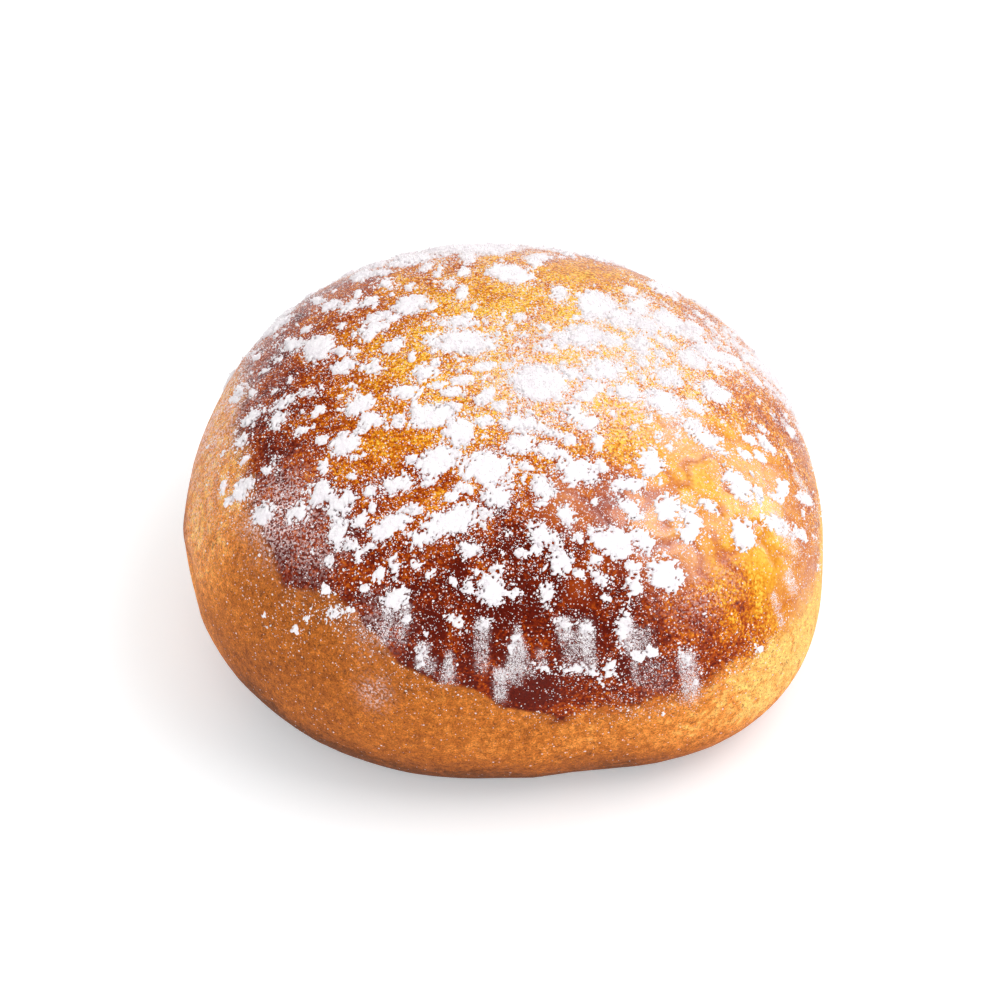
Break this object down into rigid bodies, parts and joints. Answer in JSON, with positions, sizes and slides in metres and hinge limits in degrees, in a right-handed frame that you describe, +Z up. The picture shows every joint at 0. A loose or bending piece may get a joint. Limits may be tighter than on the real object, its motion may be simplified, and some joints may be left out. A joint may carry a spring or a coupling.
{
  "type": "sfogliatella pastry",
  "caption": "Round smooth-shelled sfogliatella: a domed, solid baked pastry with a flat base to stand on and an egg-glazed crown.",
  "frame": {"origin": "on the resting face, under the middle of the pastry's outline", "axes": "+X across the widest way, -Y towards the front where the glaze comes down lowest, +Z up through the crown"},
  "size_m": [0.0966, 0.0898, 0.054],
  "materials": {
    "crust": "baked shortcrust, tan and matte on the wall, with a glossy egg glaze over the crown, golden on top and mahogany round the shoulder",
    "icing_sugar": "dry white powder lying in soft clumps, drifts and single grains"
  },
  "bodies": {
    "root": {"pastry": "crust"}
  },
  "joints": []
}
